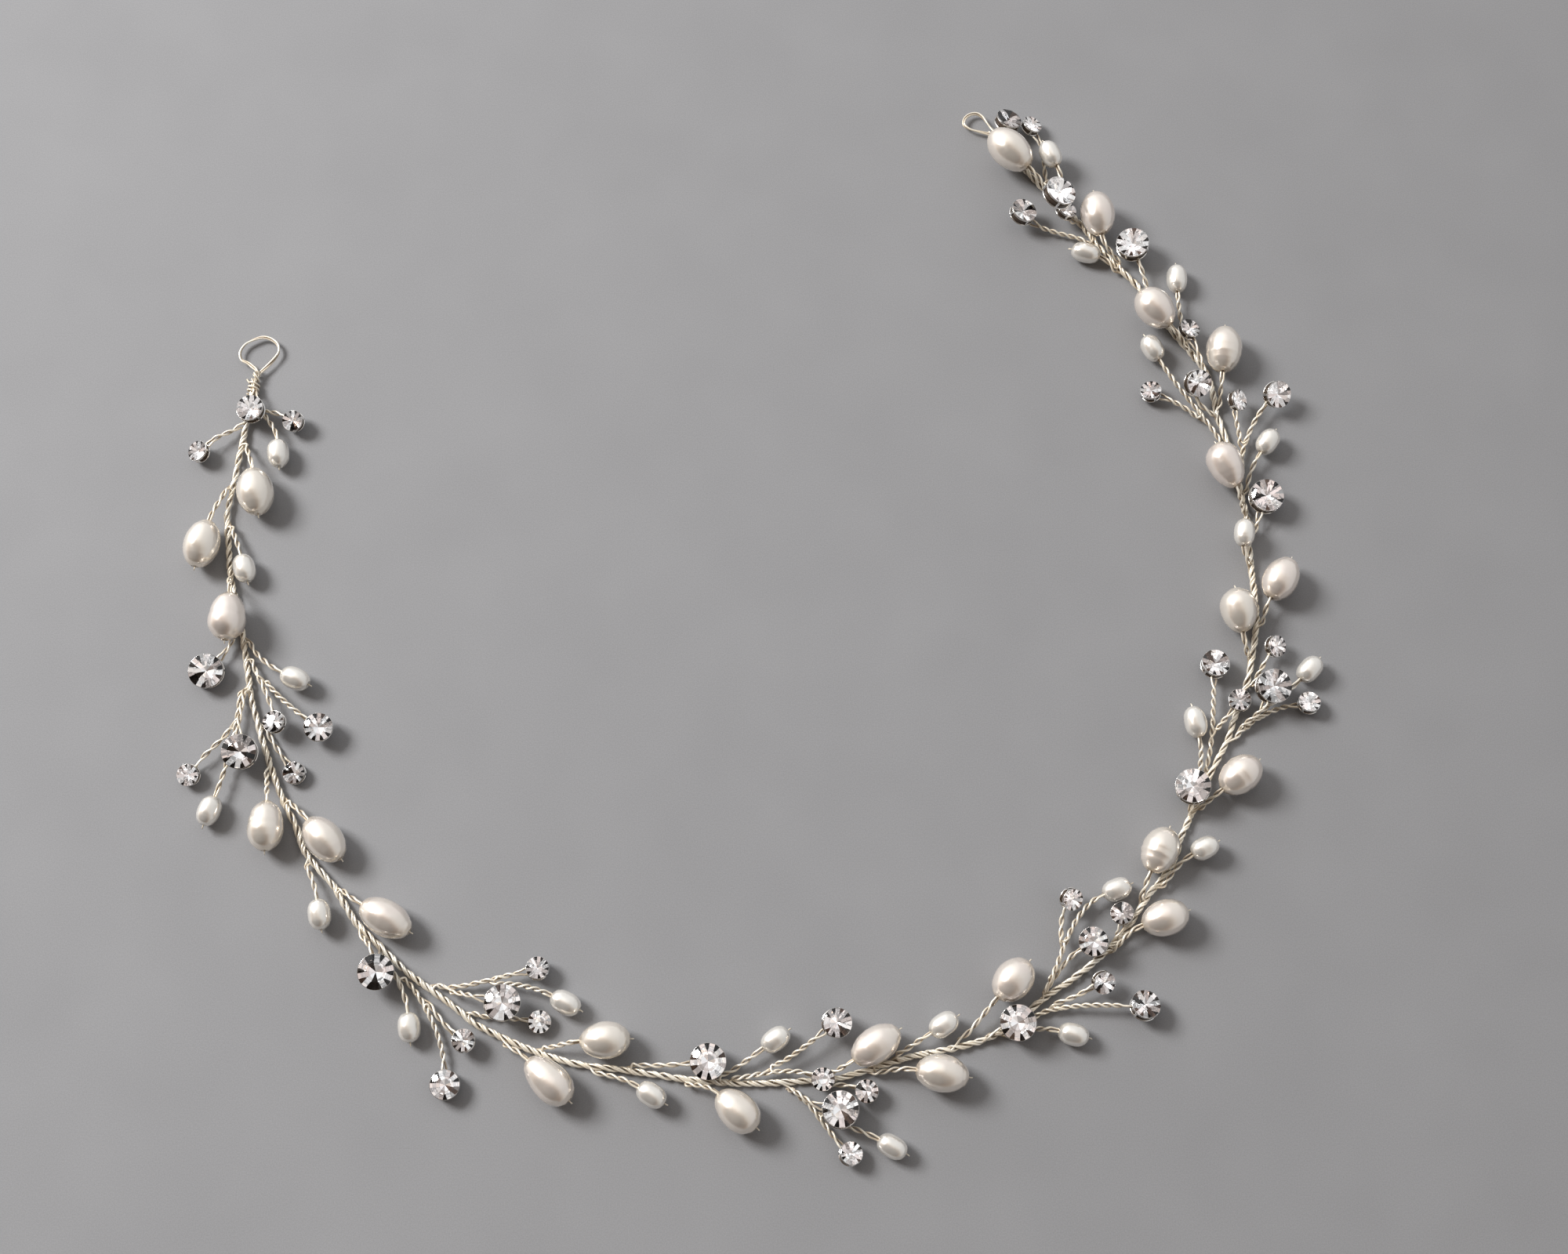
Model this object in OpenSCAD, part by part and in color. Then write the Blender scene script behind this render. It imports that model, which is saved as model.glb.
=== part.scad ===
// Hair vine: a twisted wire stem with freshwater pearls and set crystals on wire sprigs.
// It lies on the floor in an open U. X runs across the U, Y from its bend towards its two
// ends, Z up, and the origin is on the floor in the middle of the plan. Sizes are in mm.

/* [Vine] */
// Distance between the two arms of the stem
vine_w = 153; // [140:1:175]
// Distance from the bend of the stem to its farther end
vine_d = 147.5; // [135:0.5:170]
// Length that stands for 100 percent in the reach column of the sprigs
sprig_l = 10; // [9.5:0.1:11]

/* [Wire] */
// Diameter of the single wire
wire_d = 0.3; // [0.25:0.05:0.4]
// Diameter of a twisted pair, the stalk of a sprig
pair_d = 0.6; // [0.5:0.05:0.7]
// Diameter of the twisted bundle that makes the stem
stem_d = 1; // [0.8:0.05:1.3]
// How far the wire comes out of the far end of a pearl
nub_l = 0.5; // [0.3:0.05:0.8]

/* [End loops] */
// Width of the left loop
left_loop_w = 6; // [5:0.1:8]
// Length of the left loop from the end of the stem
left_loop_l = 6.8; // [6:0.1:9]
// Width of the right loop
right_loop_w = 4.8; // [4:0.1:7]
// Length of the right loop from the end of the stem
right_loop_l = 3.4; // [3:0.1:6]
// Turns of wire wrapped round the stem at each loop
wrap_turns = 3; // [2:1:5]

/* [Pearls] */
// Width of a standard large pearl
pearl_w = 5.4; // [4.5:0.1:6]
// Length of a standard large pearl along its hole
pearl_l = 7.2; // [6:0.1:8]
// Hole through a large pearl
pearl_hole_d = 0.7; // [0.5:0.05:0.9]
// Width of a standard small pearl
barrel_w = 3.3; // [2.8:0.1:3.8]
// Length of a standard small pearl along its hole
barrel_l = 4.4; // [3.8:0.1:5]
// Hole through a small pearl
barrel_hole_d = 0.65; // [0.5:0.05:0.8]
// Depth of the growth rings round some large pearls
ring_depth = 0.12; // [0.05:0.01:0.2]

/* [Crystals] */
// Outer diameter of a large setting
large_set_d = 5.2; // [4.6:0.1:5.8]
// Outer diameter of a medium setting
medium_set_d = 4.3; // [3.8:0.1:4.6]
// Outer diameter of a small setting
small_set_d = 3.4; // [3:0.1:3.7]
// Wall of a setting round its crystal
rim_t = 0.2; // [0.15:0.05:0.3]
// Width of the base ring of a setting
base_ring_w = 0.5; // [0.4:0.05:0.7]
// Thickness of the outer edge of a crystal
girdle_t = 0.12; // [0.08:0.02:0.2]

/* [Clearances] */
// Gap between neighbouring pieces
piece_gap = 0.1; // [0.1:0.05:0.2]
// Gap between a crystal and the wall of its setting
stone_gap = 0.05; // [0.03:0.01:0.1]

/* [Hidden] */
// Route of the stem from the left loop round the bend to the right loop.
// Columns: percent of vine_w across, percent of vine_d along, percent of stem_d off the floor
ROUTE = [
    [-48.9,  23.3,   0], [-49.2,  21.2,   0], [-49.5,  18.2, 20], [-49.8,  15.6, 10], [-50.1,  13.0, 20],
    [-50.4,  10.5, 20], [-50.6,   7.8, 20], [-50.2,   5.0, 10], [-49.9,   2.4, 10], [-49.3,  -0.1,   0],
    [-48.6,  -2.4,   0], [-48.0,  -5.2,   0], [-47.4,  -8.1, 10], [-46.9, -10.6, 10], [-46.1, -13.2, 20],
    [-45.1, -16.1, 20], [-44.1, -18.7, 20], [-42.9, -21.4, 20], [-41.6, -23.8, 20], [-40.5, -26.6, 20],
    [-38.8, -28.2, 20], [-37.2, -30.4, 20], [-36.0, -32.3, 20], [-34.8, -33.7, 20], [-33.1, -35.2, 20],
    [-31.3, -37.0, 20], [-29.0, -38.8, 20], [-26.3, -40.7, 20], [-24.2, -42.4, 10], [-21.4, -43.8, 20],
    [-18.0, -45.2, 20], [-14.4, -46.2, 10], [-10.9, -46.6, 20], [ -7.0, -47.2, 10], [ -3.1, -47.7,   0],
    [  1.1, -47.9,   0], [  5.0, -47.7,   0], [  8.9, -47.4,   0], [ 12.3, -46.4, 20], [ 15.6, -45.4, 10],
    [ 19.2, -44.7, 20], [ 22.2, -43.8,   0], [ 25.2, -42.2,   0], [ 27.5, -40.1, 20], [ 30.4, -38.2, 10],
    [ 33.2, -35.9, 10], [ 35.6, -33.6, 10], [ 36.9, -31.3, 10], [ 38.6, -29.2, 20], [ 40.3, -26.8,   0],
    [ 41.0, -24.7,   0], [ 42.2, -22.2,   0], [ 43.2, -20.3,   0], [ 44.3, -18.1, 20], [ 45.9, -15.1, 20],
    [ 47.0, -12.1,   0], [ 48.1,  -9.4, 10], [ 48.9,  -6.2, 10], [ 49.5,  -2.8, 10], [ 49.4,   0.9, 10],
    [ 49.3,   3.8,   0], [ 49.4,   7.1,   0], [ 49.0,   9.8,   0], [ 48.5,  13.5,   0], [ 47.7,  16.8,   0],
    [ 46.9,  19.9,   0], [ 46.6,  23.0,   0], [ 45.4,  25.4,   0], [ 43.4,  28.2,   0], [ 41.4,  31.2,   0],
    [ 39.7,  34.0, 20], [ 37.8,  36.1, 20], [ 35.9,  38.7, 10], [ 34.1,  41.5,   0], [ 32.0,  43.5,   0],
    [ 30.5,  45.6,   0], [ 28.2,  48.5,   0], [ 25.8,  52.0,   0]];
// Lines of the two end loops, from the end of the stem and back to it.
// Columns: share of the loop's width across, share of its length along
LEFT_LOOP = [
    [0.06, 0.09], [0.16, 0.19], [0.30, 0.32], [0.44, 0.48], [0.53, 0.64], [0.50, 0.80], [0.33, 0.94],
    [0.10, 1.00], [-0.17, 0.93], [-0.36, 0.81], [-0.46, 0.60], [-0.40, 0.44], [-0.22, 0.36]];
RIGHT_LOOP = [
    [-0.07, 0.17], [-0.24, 0.52], [-0.38, 0.82], [-0.56, 0.98], [-0.78, 0.94], [-0.96, 0.72],
    [-1.00, 0.42], [-0.84, 0.20], [-0.58, 0.07], [-0.30, -0.04]];
// Large pearls. Columns: name, parent, place along the parent in percent, bearing on the
// plan, reach in percent of sprig_l, direction of the hole, percent of stem_d off the floor,
// pitch of the hole, width and length in percent of the standard ones, widest place as a
// share of the length from the wire end, number of growth rings
PEARLS = [
    ["p05", "stem",  3.0,  -70,  92,  -79,    0, 0, 104, 104, 0.52, 0],
    ["p06", "stem",  5.1, -109, 100, -102,   0, 0, 100, 103, 0.52, 0],
    ["p08", "stem",  9.2,  -83,  67,  -91,  100, 0, 103, 101, 0.60, 1],
    ["p17", "stem", 17.7,  -88,  86,  -88,   0, 0,  98, 101, 0.56, 2],
    ["p18", "stem", 19.2,  -41,  87,  -48,   0, 0,  98, 106, 0.52, 0],
    ["p20", "stem", 23.6,  -28,  86,  -29,   0, 0,  96, 112, 0.50, 0],
    ["p29", "stem", 34.3,   10,  94,    3,   0, 0,  98,  98, 0.54, 0],
    ["p30", "stem", 32.8,  -41,  87,  -43,   0, 0,  98, 114, 0.62, 0],
    ["p33", "stem", 40.1,  -30,  86,  -41,   0, 0,  97,  99, 0.58, 0],
    ["p41", "stem", 45.8,   35,  79,   33,   0, 0,  94, 106, 0.50, 0],
    ["p43", "stem", 47.5,   -4,  97,   -8,   0, 0,  98, 103, 0.50, 0],
    ["p44", "stem", 51.0,   49, 120,   47,    0, 0, 101, 95, 0.52, 0],
    ["p53", "stem", 58.3,   28,  89,   18,    0, 0, 97, 96, 0.54, 0],
    ["p54", "stem", 60.7,   71,  76,   64,   0, 0, 101,  95, 0.52, 2],
    ["p57", "stem", 65.2,   35,  79,   38,   0, 0, 100,  97, 0.54, 1],
    ["p65", "stem", 72.1,  105,  72,   96,   0, 0, 102,  95, 0.60, 0],
    ["p66", "stem", 73.6,   62,  76,   60,   0, 0,  98,  97, 0.50, 0],
    ["p69", "stem", 78.5,  115,  77,  111,  80, 0, 100, 102, 0.62, 0],
    ["p76", "stem", 83.5,   81,  90,   83,   0, 0, 104, 104, 0.50, 2],
    ["p79", "stem", 86.3,  135,  85,  128,  140, 0, 104, 100, 0.54, 0],
    ["p81", "stem", 91.4,  112,  87,   97,   60, 0, 101, 102, 0.52, 0],
    ["p87", "stem", 95.7,  135, 101,  134, 120, 0, 108, 116, 0.52, 0]];
// Small barrel pearls, with the first eight columns of the large ones, then width and
// length in percent of the standard ones
BARRELS = [
    ["b04", "stem",  1.0,  -61, 105,  -82,   20, 0, 102, 102],
    ["b07", "stem",  6.8,  -64,  79,  -72,  30, 0, 100, 101],
    ["b10", "stem", 12.0,  -36, 104,  -25,   50, 0, 100, 102],
    ["b16", "c13",     5, -101, 182, -108,    0, 0, 101, 100],
    ["b19", "stem", 21.9,  -74,  81,  -78,  40, 0, 100, 100],
    ["b22", "stem", 26.7,  -68, 117,  -82,    0, 0, 98, 96],
    ["b28", "c25",    68,  -17, 109,  -27,    0, 0, 99, 102],
    ["b31", "stem", 36.5,  -25,  91,  -31,  40, 0,  98,  99],
    ["b34", "stem", 41.4,   35,  99,   35,   10, 0, 98, 98],
    ["b39", "c40",    60,  -22, 109,  -28,    0, 0, 96, 98],
    ["b42", "stem", 48.5,   36,  83,   32,  50, 0, 100, 100],
    ["b46", "stem", 52.9,   -3,  98,  -14,    0, 0, 98, 98],
    ["b50", "c52",    25,   53, 165,   22,   10, 0, 99, 97],
    ["b55", "stem", 61.6,   37,  86,   27,  50, 0,  98,  96],
    ["b58", "stem", 65.4,   88, 119,  100,   20, 0, 101, 106],
    ["b63", "c64",    48,   42, 110,   46,   10, 0, 99, 99],
    ["b67", "stem", 76.2,  104,  48,   83, 120, 0,  96,  98],
    ["b70", "stem", 79.5,   62,  89,   55,   40, 0, 98, 97],
    ["b74", "stem", 81.7,  125, 191,  117,   30, 0, 98, 100],
    ["b78", "stem", 86.8,   94, 108,   90,    0, 0, 99, 104],
    ["b82", "stem", 91.3,  155,  59,  163,    0, 0, 97, 104],
    ["b86", "stem", 95.0,  106,  89,  115,  160, 0, 99, 104]];
// Crystals in their settings. Columns: name, parent, place along the parent in percent,
// bearing on the plan, reach in percent of sprig_l, direction of the wire channel, percent
// of stem_d off the floor, tilt of the face, bearing that the tilted face looks to, size
CRYSTALS = [
    ["c01", "stem",  0.5,  -83,  42,  -92,  170, 5, 160, "medium"],
    ["c02", "b04",    37,  -18,  55,  -30,   70, 15, -125, "small"],
    ["c03", "stem",  2.2, -143,  78, -135,   40, 22, 180, "small"],
    ["c09", "stem", 11.4, -122,  81, -130,   30, 12, -60, "large"],
    ["c11", "stem", 12.8,  -61, 114,  -70,  150, 10, 180, "small"],
    ["c12", "c11",  50.0,  -38, 115,  -35,  110, 12, -30, "medium"],
    ["c13", "stem", 14.1,  -90,  99,  -80,  180, 7, -65, "large"],
    ["c14", "stem", 15.8,  -50,  90,  -50,    0, 5, -116, "small"],
    ["c15", "b16",    40, -131,  94, -125,   20, 15, -110, "small"],
    ["c21", "stem", 25.5,  -66,  67,  -75,  170, 12, -30, "large"],
    ["c23", "c24",  40.0,  -41,  80,  -38,  110, 8, 60, "small"],
    ["c24", "stem", 28.0,  -68, 167,  -85,   40, 8, -13, "medium"],
    ["c25", "stem", 29.2,   10, 153,   12,   80, 10, 60, "small"],
    ["c26", "c25",    24,  -17,  81,  -13,  200, 12, 0, "large"],
    ["c27", "stem", 31.0,   -4, 104,   -8,    0, 8, -30, "small"],
    ["c32", "stem", 37.9,    6, 111,    6,  140, 4, -50, "large"],
    ["c35", "c36",    53,   36, 114,   36,  130, 12, -20, "medium"],
    ["c36", "stem", 41.9,    2, 129,  -20, 150,  3, -115, "small"],
    ["c37", "stem", 45.3,  -12,  71,  -18,   90, 3, -138, "small"],
    ["c38", "c40",    12,  -23,  72,  -12,  160, 6, 90, "large"],
    ["c40", "stem", 44.1,  -48, 130,  -47,   40, 18, 40, "small"],
    ["c45", "stem", 52.2,   25,  48,   24,  150, 5, -150, "large"],
    ["c47", "stem", 54.1,    3, 162,   -2,   60, 18, 66, "medium"],
    ["c48", "c47",    30,   29,  80,   32,   90, 28, -58, "small"],
    ["c49", "b50",    43,   82,  67,   74,   60, 34, -44, "small"],
    ["c51", "stem", 58.8,   78,  37,   82,  120, 15, 166, "small"],
    ["c52", "stem", 55.1,   47, 102,   27,  160, 14, -165, "medium"],
    ["c56", "stem", 64.9,   87,  37,   82,  150, 10, 166, "large"],
    ["c59", "stem", 66.8,   85, 161,   84,   80, 9, 74, "medium"],
    ["c60", "c59",    50,   46,  60,   50,  140, 10, 161, "small"],
    ["c61", "stem", 70.9,   55,  71,   58,   60, 32, -19, "small"],
    ["c62", "c64",    26,   55,  72,   66,  210, 8, -37, "large"],
    ["c64", "stem", 68.5,   23, 130,    3,   30, 14, 91, "small"],
    ["c68", "stem", 77.6,   67,  60,   70,  130, 4, -9, "large"],
    ["c71", "stem", 80.6,   62, 131,   52,  110, 30, -47, "medium"],
    ["c72", "c71",    39,  101,  70,   98,  110, 40, -6, "small"],
    ["c73", "b74",    40,  153,  87,  154,   30, 16, 129, "small"],
    ["c75", "stem", 83.1,  128,  59,  104,  170, 30, -51, "medium"],
    ["c77", "stem", 84.8,  114,  84,  112,  110, 24, 33, "small"],
    ["c80", "stem", 89.6,  104,  80,  108,  160, 8, 157, "large"],
    ["c83", "stem", 93.0,  161, 123,  152,  120, 21, 24, "medium"],
    ["c84", "b86",    45, -125,  28,  -55,  335, 25, 22, "large"],
    ["c85", "stem", 94.3,  166,  24,  132,  110, 28, 32, "small"],
    ["c88", "stem", 98.2,  108,  61,  122,  100, 27, 48, "medium"],
    ["c89", "stem", 96.4,  101, 108,  124,   10, 28, 36, "small"]];
// Pavilion, crown and table of a crystal as shares of its diameter
PAVILION = 0.27;
CROWN = 0.13;
TABLE = 0.55;
// Shares of a sprig's span in which its wire follows its parent, and lines up with its bead
FOLLOW = 0.2;
LINE_UP = 0.36;
// Shares of the stem that end the left and the bend groups of sprigs
GROUP_ENDS = [31, 56];
// How square the outline of a small pearl is: 2 is an ellipse
BARREL_SQUARENESS = 2.4;
SPRIGS = concat(PEARLS, BARRELS, CRYSTALS);
ROUTE_STEPS = 5;

PEARL_NODES = [for (i = [1:len(PEARLS)]) str("large_pearl_", i < 10 ? "0" : "", i)];
LARGE = [for (row = CRYSTALS) if (row[9] == "large") row];
CRYSTAL_NODES = [for (i = [1:len(LARGE)]) str("large_crystal_", i < 10 ? "0" : "", i)];

function unit(v) = v / norm(v);
function across(v, way) = v - (v * way) * way;
function plan_way(angle, pitch = 0) = [cos(angle) * cos(pitch), sin(angle) * cos(pitch), sin(pitch)];

// Smooth stem line through the route's points, with its run, for places along the stem
function route_point(i) = [
    ROUTE[i].x / 100 * vine_w,
    ROUTE[i].y / 100 * vine_d,
    stem_d / 2 + ROUTE[i].z / 100 * stem_d];
function smooth(a, b, c, d, t) =
    0.5 * (2 * b + (c - a) * t + (2 * a - 5 * b + 4 * c - d) * t * t
    + (3 * b - a - 3 * c + d) * t * t * t);
LAST = len(ROUTE) - 1;
LINE = concat(
    [for (i = [0:LAST - 1], k = [0:ROUTE_STEPS - 1])
        smooth(route_point(max(i - 1, 0)), route_point(i), route_point(i + 1),
            route_point(min(i + 2, LAST)), k / ROUTE_STEPS)],
    [route_point(LAST)]);
RUNS = [for (i = 0, run = 0; i < len(LINE);
    run = run + (i + 1 < len(LINE) ? norm(LINE[i + 1] - LINE[i]) : 0), i = i + 1) run];
stem_run = RUNS[len(RUNS) - 1];
LINE_X = [for (i = [0:len(LINE) - 1]) [RUNS[i], LINE[i].x]];
LINE_Y = [for (i = [0:len(LINE) - 1]) [RUNS[i], LINE[i].y]];
// Both ends of the stem are held up by the wire wrapped round them
wraps_end = stem_d / 2 + piece_gap + wire_d * (1 + 2 * wrap_turns);
function end_lift(run) =
    let (past = max(0, min(run, stem_run - run) - wraps_end))
    (wire_d + piece_gap) * max(0, 1 - past / (4 * stem_d));
LINE_Z = [for (i = [0:len(LINE) - 1])
    [RUNS[i], max(LINE[i].z, stem_d / 2 + end_lift(RUNS[i]))]];
function stem_point(run) = [lookup(run, LINE_X), lookup(run, LINE_Y), lookup(run, LINE_Z)];
function stem_way(run) = unit(stem_point(run + stem_d) - stem_point(run - stem_d));

// Sizes of one bead, from its row
function kind(row) = row[0][0];
function number(row) = (ord(row[0][1]) - 48) * 10 + ord(row[0][2]) - 48;
function row_named(name) = SPRIGS[search([name], SPRIGS)[0]];
function set_d(size) = size == "large" ? large_set_d : size == "medium" ? medium_set_d : small_set_d;
function bead_w(row) =
    kind(row) == "p" ? pearl_w * row[8] / 100 :
    kind(row) == "b" ? barrel_w * row[8] / 100 : set_d(row[9]);
function bead_l(row) =
    kind(row) == "p" ? pearl_l * row[9] / 100 :
    kind(row) == "b" ? barrel_l * row[9] / 100 : set_d(row[9]);

// Heights in a setting, from the middle of its wire channel
channel_h = wire_d / 2 + piece_gap;
function stone_d(size) = set_d(size) - 2 * (rim_t + stone_gap);
function girdle_h(size) = channel_h + PAVILION * stone_d(size);
function table_h(size) = girdle_h(size) + girdle_t + CROWN * stone_d(size);

// Place and direction of one bead: a pearl's hole or a crystal's wire channel
function face_way(row) = plan_way(row[8], 90 - row[7]);
function bead_way(row) =
    kind(row) == "c" ? unit(across(plan_way(row[5]), face_way(row))) : plan_way(row[5], row[7]);
function bead_lift(row) =
    kind(row) == "c" ? bead_w(row) / 2 * sin(row[7]) + channel_h * cos(row[7]) : bead_w(row) / 2;
function bead_centre(row) =
    let (from = parent_point(row))
    [from.x + row[4] / 100 * sprig_l * cos(row[3]), from.y + row[4] / 100 * sprig_l * sin(row[3]),
        bead_lift(row) + row[6] / 100 * stem_d];

// Line of one sprig's wire, which leaves its parent along the parent and meets its bead
function on_stem(row) = row[1] == "stem";
function parent_point(row) =
    on_stem(row) ? stem_point(row[2] / 100 * stem_run)
        : curve_point(sprig_curve(row_named(row[1])), row[2] / 100);
function parent_way(row) =
    on_stem(row) ? stem_way(row[2] / 100 * stem_run)
        : curve_way(sprig_curve(row_named(row[1])), row[2] / 100);
function parent_r(row) = on_stem(row) ? stem_d / 2 : pair_d / 2;
function sprig_curve(row) =
    let (from = parent_point(row), way = parent_way(row), centre = bead_centre(row),
        side = unit(across(centre - from, way)),
        start = from + side * (parent_r(row) + pair_d / 2 + piece_gap),
        end = centre - bead_way(row) * bead_l(row) / 2, span = norm(end - start))
    [start, start + way * FOLLOW * span, end - bead_way(row) * LINE_UP * span, end];
function curve_point(c, t) =
    pow(1 - t, 3) * c[0] + 3 * t * pow(1 - t, 2) * c[1] + 3 * t * t * (1 - t) * c[2] + pow(t, 3) * c[3];
function curve_way(c, t) =
    unit(pow(1 - t, 2) * (c[1] - c[0]) + 2 * t * (1 - t) * (c[2] - c[1]) + t * t * (c[3] - c[2]));

// Points and radii of one sprig's wire: a twisted pair, then the single wire in the bead
function sprig_line(row) =
    let (c = sprig_curve(row), centre = bead_centre(row), way = bead_way(row),
        span = norm(c[3] - c[0]), parts = max(3, ceil(span / (5 * pair_d))),
        stop = 1 - min(0.35, 2 * pair_d / span), half = bead_l(row) / 2)
    concat(
        [for (i = [0:parts]) [curve_point(c, stop * i / parts), pair_d / 2]],
        [[c[3], wire_d / 2]],
        kind(row) == "c" ?
            [[centre + way * (half - base_ring_w / 2), wire_d / 2]] :
            [[centre + way * (half + nub_l / 2), wire_d / 2],
             [centre + way * (half + nub_l) - [0, 0, nub_l / 2], wire_d / 2]]);

// Middle of the plan, so that the origin lies under it
function ends_of(row) =
    let (centre = bead_centre(row), r = bead_w(row) / 2, way = bead_way(row), l = bead_l(row) / 2)
    kind(row) == "c" ? [for (s = [-1, 1]) centre + s * [r, r, 0]] :
    [for (s = [-1, 1]) centre + s * [
        sqrt(pow(l * way.x, 2) + pow(r, 2) * (1 - pow(way.x, 2))),
        sqrt(pow(l * way.y, 2) + pow(r, 2) * (1 - pow(way.y, 2))), 0]];
EXTENTS = concat([for (row = SPRIGS) each ends_of(row)], loop_line(0), loop_line(1));
middle = [
    (min([for (p = EXTENTS) p.x]) + max([for (p = EXTENTS) p.x])) / 2,
    (min([for (p = EXTENTS) p.y]) + max([for (p = EXTENTS) p.y])) / 2];

function loop_line(end) =
    let (from = stem_point(end * stem_run), w = end == 0 ? left_loop_w : right_loop_w,
        l = end == 0 ? left_loop_l : right_loop_l, shape = end == 0 ? LEFT_LOOP : RIGHT_LOOP)
    [for (p = shape) from + [p.x * w, p.y * l, 0]];

// Points round a tube's line, seen against the given upward direction
function ring_way(way, up, angle) =
    let (side = unit(cross(way, up))) side * cos(angle) + cross(side, way) * sin(angle);

// Closed tube along a list of points with a radius each, with a cone tip at both ends
module tube(points, radii, sides, up = [0, 0, 1]) {
    last = len(points) - 1;
    ways = [for (i = [0:last]) unit(points[min(i + 1, last)] - points[max(i - 1, 0)])];
    rings = [for (i = [0:last], k = [0:sides - 1])
        points[i] + radii[i] * ring_way(ways[i], up, 360 * k / sides)];
    tips = [points[0] - ways[0] * radii[0], points[last] + ways[last] * radii[last]];
    walls = [for (i = [0:last - 1], k = [0:sides - 1])
        let (a = i * sides + k, b = i * sides + (k + 1) % sides)
        each [[a, b, b + sides], [a, b + sides, a + sides]]];
    ends = [for (k = [0:sides - 1])
        let (b = (k + 1) % sides, far = last * sides)
        each [[len(rings), b, k], [len(rings) + 1, far + k, far + b]]];
    polyhedron(concat(rings, tips), concat(walls, ends));
}

// Everything is drawn from the stem's own plan and moved over the origin
module placed() {
    translate([-middle.x, -middle.y, 0]) children();
}

// Moves a shape to a place, with its Z along one direction and its X along another
module stand(place, x, z) {
    y = cross(z, x);
    multmatrix([
        [x.x, y.x, z.x, place.x],
        [x.y, y.y, z.y, place.y],
        [x.z, y.z, z.z, place.z],
        [0, 0, 0, 1]]) children();
}

module stem_part(first, last) {
    count = ceil((last - first) * stem_run / (3.3 * stem_d));
    runs = [for (i = [0:count]) stem_run * (first + (last - first) * i / count)];
    inset = stem_d / 2 + piece_gap / 2;
    points = [for (i = [0:count]) stem_point(
        i == 0 ? runs[i] + inset : i == count ? runs[i] - inset : runs[i])];
    tube(points, [for (p = points) stem_d / 2], 8);
}

module loop(end) {
    points = loop_line(end);
    tube(points, [for (p = points) pair_d / 2], 6);
}

// Single wire wound round the stem next to a loop
module wrap(from_run) {
    pitch = 2 * wire_d;
    coil_r = stem_d / 2 + wire_d / 2 + piece_gap;
    way = stem_way(from_run + wrap_turns * pitch / 2);
    start = stem_point(from_run);
    side = unit(cross(way, [0, 0, 1]));
    points = [for (i = [0:10 * wrap_turns])
        start + way * pitch * i / 10 + coil_r * (side * cos(36 * i) + cross(side, way) * sin(36 * i))];
    tube(points, [for (p = points) wire_d / 2], 5, way);
}

module sprig_wires(first, last) {
    for (row = SPRIGS) {
        if (number(row) >= first && number(row) <= last) {
            line = sprig_line(row);
            tube([for (p = line) p[0]], [for (p = line) p[1]], 5);
        }
    }
}

// Half outline of a pearl round its drilled hole, widest at a share of its length
function outline(w, l, hole_d, widest, squareness, rings) =
    let (first = asin(pow(hole_d / w, squareness / 2)), steps = rings > 0 ? 40 : 20)
    [for (i = [0:steps])
        let (turn = first + (180 - 2 * first) * i / steps,
            part_l = l * (turn < 90 ? widest : 1 - widest),
            z = (widest - 0.5) * l - sign(cos(turn)) * part_l * pow(abs(cos(turn)), 2 / squareness),
            dip = ring_depth * max([0, for (k = [1:1:rings]) 1 - abs(z / l + 0.16 * k - 0.12) * 20]))
        [w / 2 * pow(sin(turn), 2 / squareness) - (i == 0 || i == steps ? 0 : dip), z]];

module pearl(w, l, hole_d, widest = 0.5, squareness = 2, rings = 0) {
    rotate_extrude($fn = 48) polygon(outline(w, l, hole_d, widest, squareness, rings));
}

module placed_pearl(row) {
    way = bead_way(row);
    stand(bead_centre(row), unit(cross([0, 0, 1], way)), way) {
        if (kind(row) == "p") pearl(bead_w(row), bead_l(row), pearl_hole_d, row[10], 2, row[11]);
        else pearl(bead_w(row), bead_l(row), barrel_hole_d, 0.5, BARREL_SQUARENESS);
    }
}

// Round crystal: table, crown, girdle and pavilion, with its culet over the wire channel
module crystal(size) {
    sides = size == "small" ? 8 : 12;
    r = stone_d(size) / 2;
    levels = [[TABLE * r, table_h(size)], [r, girdle_h(size) + girdle_t], [r, girdle_h(size)]];
    points = concat(
        [for (level = levels, k = [0:sides - 1])
            [level[0] * cos(360 * k / sides), level[0] * sin(360 * k / sides), level[1]]],
        [[0, 0, channel_h]]);
    walls = [for (i = [0, 1], k = [0:sides - 1])
        let (a = i * sides + k, b = i * sides + (k + 1) % sides) [a, b, b + sides, a + sides]];
    faces = concat(
        [[for (k = [0:sides - 1]) sides - 1 - k]], walls,
        [for (k = [0:sides - 1]) [2 * sides + k, 2 * sides + (k + 1) % sides, 3 * sides]]);
    polyhedron(points, faces);
}

// Setting: base ring with a wire channel, four posts and a rim round the crystal
module setting(size) {
    r = set_d(size) / 2;
    back = -channel_h;
    ring_top = channel_h;
    seat = girdle_h(size) - piece_gap;
    ledge_r = r - 1.6 * rim_t;
    window_top = seat - rim_t;
    difference() {
        rotate_extrude($fn = 48) polygon([
            [r - base_ring_w, back], [r, back],
            [r, girdle_h(size) + girdle_t], [r - rim_t, girdle_h(size) + girdle_t],
            [r - rim_t, seat], [ledge_r, seat], [ledge_r, ring_top], [r - base_ring_w, ring_top]]);
        for (turn = [0, 90]) {
            rotate(turn) translate([-2 * r, -0.57 * r, ring_top])
                cube([4 * r, 1.14 * r, window_top - ring_top]);
        }
        translate([-2 * r, -channel_h, 2 * back]) cube([4 * r, 2 * channel_h, 2 * channel_h - back]);
    }
}

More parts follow.
